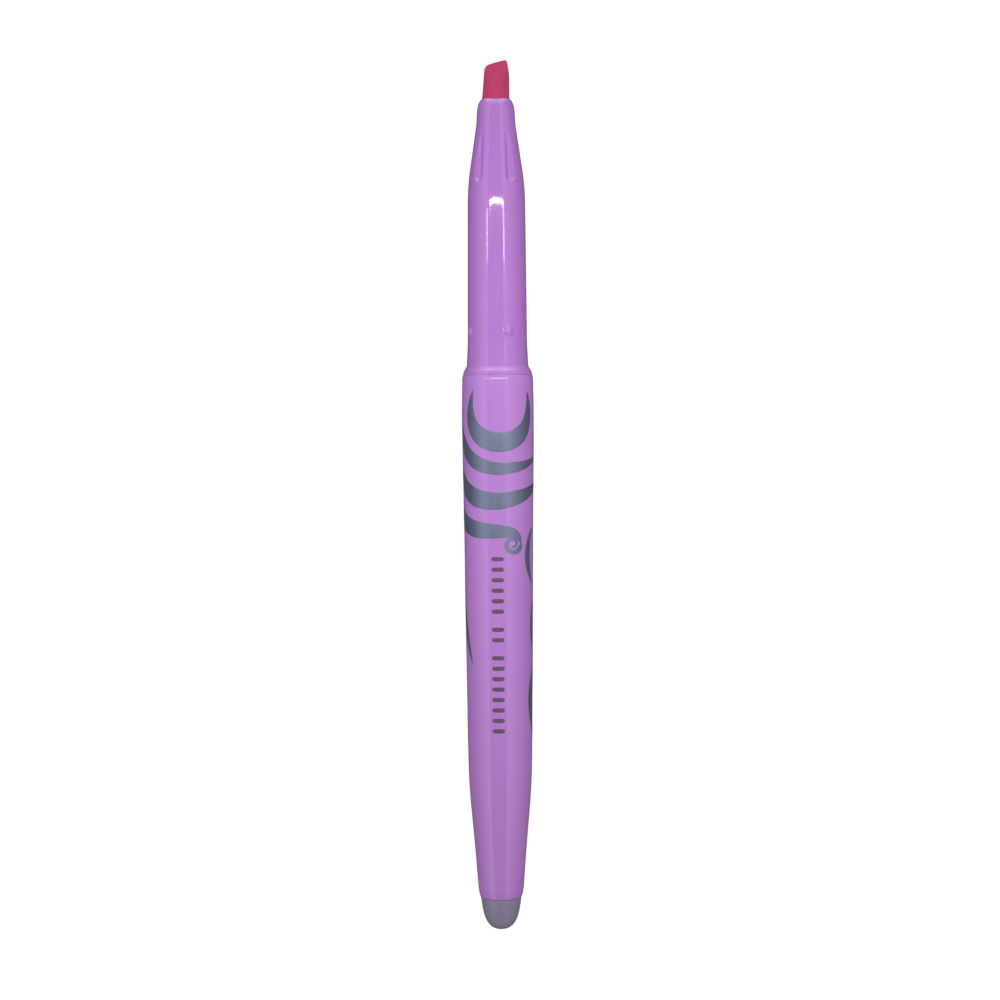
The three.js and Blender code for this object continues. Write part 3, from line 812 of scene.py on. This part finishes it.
def plug_shell():
    """The tail plug: a cup in front, a web with a vent hole, and the socket for the eraser's stem."""
    line = rounded([
        (PLUG_AT, PLUG_CUP_RADIUS, 0.12), (PLUG_AT, 3.82, 0.15), (110.6, 3.56, 0.3), (117, 3.1, 0.3),
        (PLUG_END_AT, 2.8, 0.12), (PLUG_END_AT, STEM_BORE, 0.12), (PLUG_SOCKET_AT, STEM_BORE, 0.1),
        (PLUG_SOCKET_AT, PLUG_VENT_RADIUS, 0.08), (PLUG_WEB_AT, PLUG_VENT_RADIUS, 0.08),
        (PLUG_WEB_AT, PLUG_CUP_RADIUS - 0.3, 0.2),
    ], looped=True)
    return tube_shell(turned(stepped(line, 1.0), columns(144)))


# ---------- print


def film_stroke(path, half_width, height, across=18):
    """One stroke of printed film on the barrel, as a closed shell.

    The path gives (millimetres round the barrel from its top line, station). The stroke reaches half_width
    to both sides of it. Its section runs over the top and back under the barrel's skin, and the whole is
    wrapped round the barrel by turning millimetres round into an angle.
    """
    ahead = np.gradient(path, axis=0)
    ahead /= np.linalg.norm(ahead, axis=1, keepdims=True)
    aside = np.stack([-ahead[:, 1], ahead[:, 0]], -1)
    reach = np.cos(np.linspace(0, math.pi, across))
    top = height * (1 - np.abs(reach) ** 14)
    sunk = -2 * height + 0 * reach[1:-1]
    reach, lift = np.concatenate([reach, reach[-2:0:-1]]), np.concatenate([top, sunk])
    flat = path[:, None] + aside[:, None] * (reach * half_width[:, None])[..., None]
    around, station = flat[..., 0], flat[..., 1]
    radius = barrel_radius(station)
    angle = around / radius
    radius = radius + lift * np.minimum(1, half_width[:, None] / 0.06)
    return capped_shell(np.stack([radius * np.sin(angle), station, radius * np.cos(angle)], -1))


def tapered_stroke(controls, width, swell, height):
    """A stroke along a Bezier curve, pointed at both ends and widest at the share swell of its length."""
    count = 72
    share = np.linspace(0.002, 0.998, count)
    skew = share ** (math.log(0.5) / math.log(swell))
    half = width / 2 * np.sin(math.pi * skew) ** 0.7
    half *= np.minimum(1, np.minimum(share, 1 - share) / 0.02) ** 0.5
    return film_stroke(bezier(*controls, count=count), half, height)


def curl_stroke(centre, radius, start, turns, width, height):
    """A stroke that winds in: its radius falls evenly with the angle while it narrows to a point."""
    count = 96
    share = np.linspace(0.002, 0.998, count)
    angle = start + turns * 2 * math.pi * share
    reach = radius * (1 - 0.78 * share)
    path = np.stack([centre[0] + reach * np.cos(angle), centre[1] + reach * np.sin(angle)], -1)
    ends = np.minimum(1, (1 - share) / 0.03) ** 0.5 * np.minimum(1, share / 0.02) ** 0.5
    half = width / 2 * (1 - 0.55 * share) * ends
    return film_stroke(path, half, height)


def pattern_shell(height):
    """The printed pattern: a plain run of tapered waves round the front of the barrel and a few blades."""
    strokes = [
        # Crescent that opens towards the nib.
        ((-4.0, 49.4), (-8.2, 59.5), (8.0, 60.2), (5.0, 49.6), 3.0, 0.5),
        # Waves under it.
        ((-9.4, 49.5), (-7.5, 63.0), (0.5, 62.5), (8.8, 59.4), 2.2, 0.45),
        ((-10.2, 57.0), (-6.5, 69.5), (2.0, 66.5), (9.6, 63.2), 2.8, 0.45),
        ((-9.6, 64.5), (-7.0, 74.5), (3.2, 67.8), (3.6, 72.8), 2.6, 0.35),
        ((6.8, 70.0), (4.4, 73.0), (4.6, 76.0), (6.6, 79.0), 1.3, 0.5),
        # Blades on both sides, with their points towards the tail.
        ((-9.0, 75.0), (-8.2, 81.0), (-6.6, 86.0), (-4.6, 91.0), 1.5, 0.4),
        ((7.0, 81.0), (6.0, 84.0), (5.8, 87.0), (7.6, 90.0), 0.9, 0.5),
        ((8.8, 89.5), (5.4, 93.5), (5.2, 99.0), (8.4, 103.0), 1.9, 0.5),
        ((10.6, 66.0), (10.2, 76.0), (11.6, 86.0), (10.6, 97.0), 2.2, 0.4),
        ((-10.0, 96.0), (-8.6, 98.0), (-7.6, 100.0), (-7.4, 103.0), 1.0, 0.5),
        # The same run carried on round the back.
        ((9.6, 52.0), (13.0, 66.0), (18.5, 66.0), (24.0, 52.0), 2.8, 0.5),
        ((11.0, 60.0), (14.0, 74.0), (20.0, 72.5), (23.6, 61.0), 2.6, 0.5),
        ((13.5, 76.0), (15.0, 84.0), (17.0, 90.0), (16.5, 99.0), 1.8, 0.45),
    ]
    shells = [tapered_stroke(stroke[:4], stroke[4], stroke[5], height) for stroke in strokes]
    shells.append(curl_stroke((2.2, 72.6), 1.4, 0.0, 1.35, 0.8, height))
    shells.append(curl_stroke((18.4, 78.0), 2.0, 2.4, 1.3, 0.9, height))
    return joined(shells)


def marks_shell(height):
    """A plain row of short bars down the barrel, in three runs."""
    first, pitch, long = 74.8, 1.58, 0.66
    runs, gap, around = (6, 2, 8), 1.15, -0.2
    shells, station = [], first
    for run in runs:
        for _ in range(run):
            path = np.stack([np.linspace(around - 0.95, around + 0.95, 24), np.full(24, station)], -1)
            share = np.linspace(-0.999, 0.999, 24)
            half = long / 2 * (1 - np.abs(share) ** 6) ** (1 / 2)
            shells.append(film_stroke(path, half, height, across=10))
            station += pitch
        station += gap
    return joined(shells)


# ---------- operators


class StageOperator(bpy.types.Operator):
    """Makes the camera, the floor and the light"""

    bl_idname = "highlighter.make_stage"
    bl_label = "Stage"

    def execute(self, context):
        settings = context.scene.highlighter_stage
        data = bpy.data.cameras.new("camera")
        data.lens, data.sensor_width = settings.lens, 36
        data.clip_start, data.clip_end = 0.01, 20
        camera = bpy.data.objects.new("camera", data)
        camera.location = (settings.aside, TIP_Y - settings.station, AXIS_Z + settings.height)
        camera.rotation_euler = (settings.pitch, 0, settings.roll)
        context.scene.collection.objects.link(camera)
        context.scene.camera = camera
        context.scene.view_settings.view_transform = "Standard"
        self.make_floor(context)
        self.make_lamps(context, settings.fill)
        self.make_sky(context, settings.sky)
        return {"FINISHED"}

    def make_floor(self, context):
        """Plain pale floor. It glows a little, so that it is evenly white under the soft light."""
        half, level = 3.0, CAD_BOX[0].z - 0.06 * MM
        mesh = bpy.data.meshes.new("floor")
        corners = [(-half, -half, level), (half, -half, level), (half, half, level), (-half, half, level)]
        mesh.from_pydata(corners, [], [(0, 1, 2, 3)])
        material, _ = start_material("white_paper_floor", **{
            "Base Color": linear("#B4B4B4"), "Roughness": 0.9, "Specular IOR Level": 0.0,
            "Emission Color": linear("#FFFFFF"), "Emission Strength": 0.8})
        mesh.materials.append(material)
        floor = bpy.data.objects.new("floor", mesh)
        context.scene.collection.objects.link(floor)
        # The floor is only a backdrop: it sends no light back up on to the pen.
        floor.visible_diffuse = floor.visible_glossy = floor.visible_transmission = False

    def make_lamps(self, context, fill):
        """A long lamp across the pen and a small one on each side, in the gloss alone, and a soft fill."""
        lamps = [
            # name, (right, forward of station 48, height) and (across, along) in metres, watts, gloss only
            ("lamp_ahead", (0, 0.0875, 0.49), (0.54, 0.016), 0.66, True),
            ("lamp_left", (-0.152, 0.0415, 0.198), (0.032, 0.014), 0.012, True),
            ("lamp_right", (0.117, 0.0415, 0.221), (0.032, 0.014), 0.012, True),
            ("lamp_fill", (0, 0.008, 0.085), (0.06, 0.06), fill, False),
        ]
        for name, (right, forward, height), (across, along), watts, glossy in lamps:
            data = bpy.data.lights.new(name, "AREA")
            data.shape, data.size, data.size_y, data.energy = "RECTANGLE", across, along, watts
            lamp = bpy.data.objects.new(name, data)
            lamp.location = (right, TIP_Y - 48 * MM + forward, AXIS_Z + height)
            lamp.visible_camera = False
            lamp.visible_glossy, lamp.visible_diffuse = glossy, not glossy
            context.scene.collection.objects.link(lamp)

    def make_sky(self, context, strength):
        """The room: soft light on the surfaces, panels in the gloss, and plain white for the camera.

        In the gloss there is a panel on each side with a sharp inner edge and a slow fade outwards, and a
        bright one low ahead.
        """
        world = bpy.data.worlds.new("studio")
        context.scene.world = world
        world.use_nodes = True
        tree = world.node_tree
        tree.nodes.clear()
        direction = add_node(tree, "ShaderNodeTexCoord").outputs["Generated"]
        parts = add_node(tree, "ShaderNodeSeparateXYZ", {"Vector": direction})
        ahead, up = parts.outputs["Y"], parts.outputs["Z"]
        toward = add_node(tree, "ShaderNodeVectorMath", operation="DOT_PRODUCT", inputs={
            0: direction, 1: (0.0, 0.55, 0.45)})
        soft = add_node(tree, "ShaderNodeMath", operation="MULTIPLY_ADD", inputs={
            0: toward.outputs["Value"], 1: strength, 2: 1.25 * strength})
        sideways = add_node(tree, "ShaderNodeMath", {0: parts.outputs["X"], 1: up}, operation="ARCTAN2")
        share = add_node(tree, "ShaderNodeMapRange", {
            "Value": sideways.outputs["Value"], "From Min": -math.pi, "From Max": math.pi})
        # Angle from overhead, in degrees, and brightness.
        sides = add_node(tree, "ShaderNodeValToRGB", {"Fac": share.outputs["Result"]})
        self.fill_ramp(sides.color_ramp, [(angle / 360 + 0.5, level) for angle, level in (
            (-100, 0.05), (-85, 0.2), (-73, 0.36), (-45, 0.74), (-37.5, 1.0), (-36.3, 0.18),
            (24.7, 0.18), (26, 1.0), (35, 0.68), (61, 0.36), (85, 0.2), (100, 0.05))])
        # How far ahead, as a share of the direction, and brightness.
        front = add_node(tree, "ShaderNodeValToRGB", {"Fac": ahead})
        self.fill_ramp(front.color_ramp, [(0.5, 0), (0.72, 0.3), (0.84, 1), (0.93, 1), (0.97, 0.1)])
        side_light = add_node(tree, "ShaderNodeMath", operation="MULTIPLY", inputs={
            0: sides.outputs["Color"], 1: 2.0})
        gloss = add_node(tree, "ShaderNodeMath", operation="MULTIPLY_ADD", inputs={
            0: front.outputs["Color"], 1: 3.2, 2: side_light.outputs["Value"]})
        rays = add_node(tree, "ShaderNodeLightPath")
        level = add_node(tree, "ShaderNodeMix", {
            "Factor": rays.outputs["Is Glossy Ray"], "A": soft.outputs["Value"], "B": gloss.outputs["Value"]})
        level = add_node(tree, "ShaderNodeMix", {
            "Factor": rays.outputs["Is Camera Ray"], "A": level.outputs["Result"], "B": 1.0})
        room = add_node(tree, "ShaderNodeBackground", {
            "Color": linear("#FFFFFF"), "Strength": level.outputs["Result"]})
        add_node(tree, "ShaderNodeOutputWorld", {"Surface": room.outputs["Background"]})

    def fill_ramp(self, ramp, stops):
        """Gives a colour ramp grey stops at (position, brightness)."""
        while len(ramp.elements) < len(stops):
            ramp.elements.new(0.5)
        for element, (position, level) in zip(ramp.elements, stops):
            element.position, element.color = position, (level, level, level, 1)


class NibOperator(bpy.types.Operator):
    """Makes the chisel nib"""

    bl_idname = "highlighter.make_nib"
    bl_label = "Nib"

    def execute(self, context):
        colour = context.scene.highlighter_colours.nib
        felt = bonded_fibre("bonded_fibre_nib", shaded(colour, 0.92), shaded(colour, 1.08), 0.09, 0.1)
        make_piece("felt_nib", nib_shell(), felt, "nib", "chisel_nib")
        return {"FINISHED"}


class SectionOperator(bpy.types.Operator):
    """Makes the front section"""

    bl_idname = "highlighter.make_section"
    bl_label = "Front section"

    def execute(self, context):
        colour = context.scene.highlighter_colours.section
        plastic = moulded_polypropylene("polished_polypropylene_section", colour, 0.03)
        shell = section_shell(context.scene.highlighter_sizes)
        make_piece("nose_and_sleeve", shell, plastic, "section", "front_section")
        return {"FINISHED"}


class BarrelOperator(bpy.types.Operator):
    """Makes the barrel"""

    bl_idname = "highlighter.make_barrel"
    bl_label = "Barrel"

    def execute(self, context):
        colour = context.scene.highlighter_colours.barrel
        plastic = moulded_polypropylene("satin_polypropylene_barrel", colour, 0.13)
        make_piece("barrel_tube", barrel_shell(), plastic, "barrel", "barrel")
        return {"FINISHED"}


class PrintOperator(bpy.types.Operator):
    """Makes the printed pattern and marks on the barrel"""

    bl_idname = "highlighter.make_print"
    bl_label = "Print"

    def execute(self, context):
        height = context.scene.highlighter_sizes.print_height / MM
        colours = context.scene.highlighter_colours
        silver = metallic_pad_print("silver_pad_print", colours.pattern, 0.55)
        dark = metallic_pad_print("dark_pad_print", colours.marks, 0.0)
        make_piece("printed_pattern", pattern_shell(height), silver, "barrel")
        make_piece("printed_marks", marks_shell(height), dark, "barrel")
        return {"FINISHED"}


class EraserOperator(bpy.types.Operator):
    """Makes the eraser"""

    bl_idname = "highlighter.make_eraser"
    bl_label = "Eraser"

    def execute(self, context):
        rubber = frosted_elastomer(context.scene.highlighter_colours.eraser)
        make_piece("eraser_tip", eraser_shell(), rubber, "eraser", "eraser")
        return {"FINISHED"}


class InkStoreOperator(bpy.types.Operator):
    """Makes the reservoir, its film and the breather tube"""

    bl_idname = "highlighter.make_ink_store"
    bl_label = "Ink store"

    def execute(self, context):
        fibre = bonded_fibre("ink_soaked_fibre_core", linear("#B8406A"), linear("#E07A9C"), 0.12, 0.3)
        make_piece("fibre_core", reservoir_shell(), fibre, "barrel", "ink_reservoir")
        film = clear_polyester_film()
        make_piece("core_film", film_shell(), film, "barrel", "reservoir_film")
        tube = natural_polyethylene("natural_polyethylene_tube", linear("#E6E6EA"), 0.5)
        make_piece("air_tube", breather_shell(), tube, "barrel", "breather_tube")
        return {"FINISHED"}


class PlugOperator(bpy.types.Operator):
    """Makes the tail plug"""

    bl_idname = "highlighter.make_plug"
    bl_label = "Tail plug"

    def execute(self, context):
        white = natural_polyethylene("white_polyethylene_plug", linear("#EEEEF0"), 0.2)
        make_piece("stem_plug", plug_shell(), white, "barrel", "tail_plug")
        return {"FINISHED"}


OPERATORS = (
    StageOperator, NibOperator, SectionOperator, BarrelOperator, PrintOperator, EraserOperator,
    InkStoreOperator, PlugOperator,
)


class HighlighterPanel(bpy.types.Panel):
    """Lists the makers and the sizes and colours they use"""

    bl_idname = "VIEW3D_PT_highlighter"
    bl_label = "Highlighter"
    bl_space_type = "VIEW_3D"
    bl_region_type = "UI"
    bl_category = "Highlighter"

    def draw(self, context):
        for group in (getattr(context.scene, name) for name in GROUPS):
            box = self.layout.box()
            for name in group.bl_rna.properties.keys():
                if name not in {"rna_type", "name"}:
                    box.prop(group, name)
        for operator in OPERATORS:
            self.layout.operator(operator.bl_idname)


GROUPS = {
    "highlighter_sizes": PenSizes,
    "highlighter_colours": PenColours,
    "highlighter_stage": StageSettings,
}


def register():
    for kind in (*GROUPS.values(), *OPERATORS, HighlighterPanel):
        bpy.utils.register_class(kind)
    for name, kind in GROUPS.items():
        setattr(bpy.types.Scene, name, PointerProperty(type=kind))


def unregister():
    for name in GROUPS:
        delattr(bpy.types.Scene, name)
    for kind in (HighlighterPanel, *reversed(OPERATORS), *reversed(GROUPS.values())):
        bpy.utils.unregister_class(kind)


def main():
    register()
    for operator in OPERATORS:
        group, name = operator.bl_idname.split(".")
        getattr(getattr(bpy.ops, group), name)()


if __name__ == "__main__":
    main()
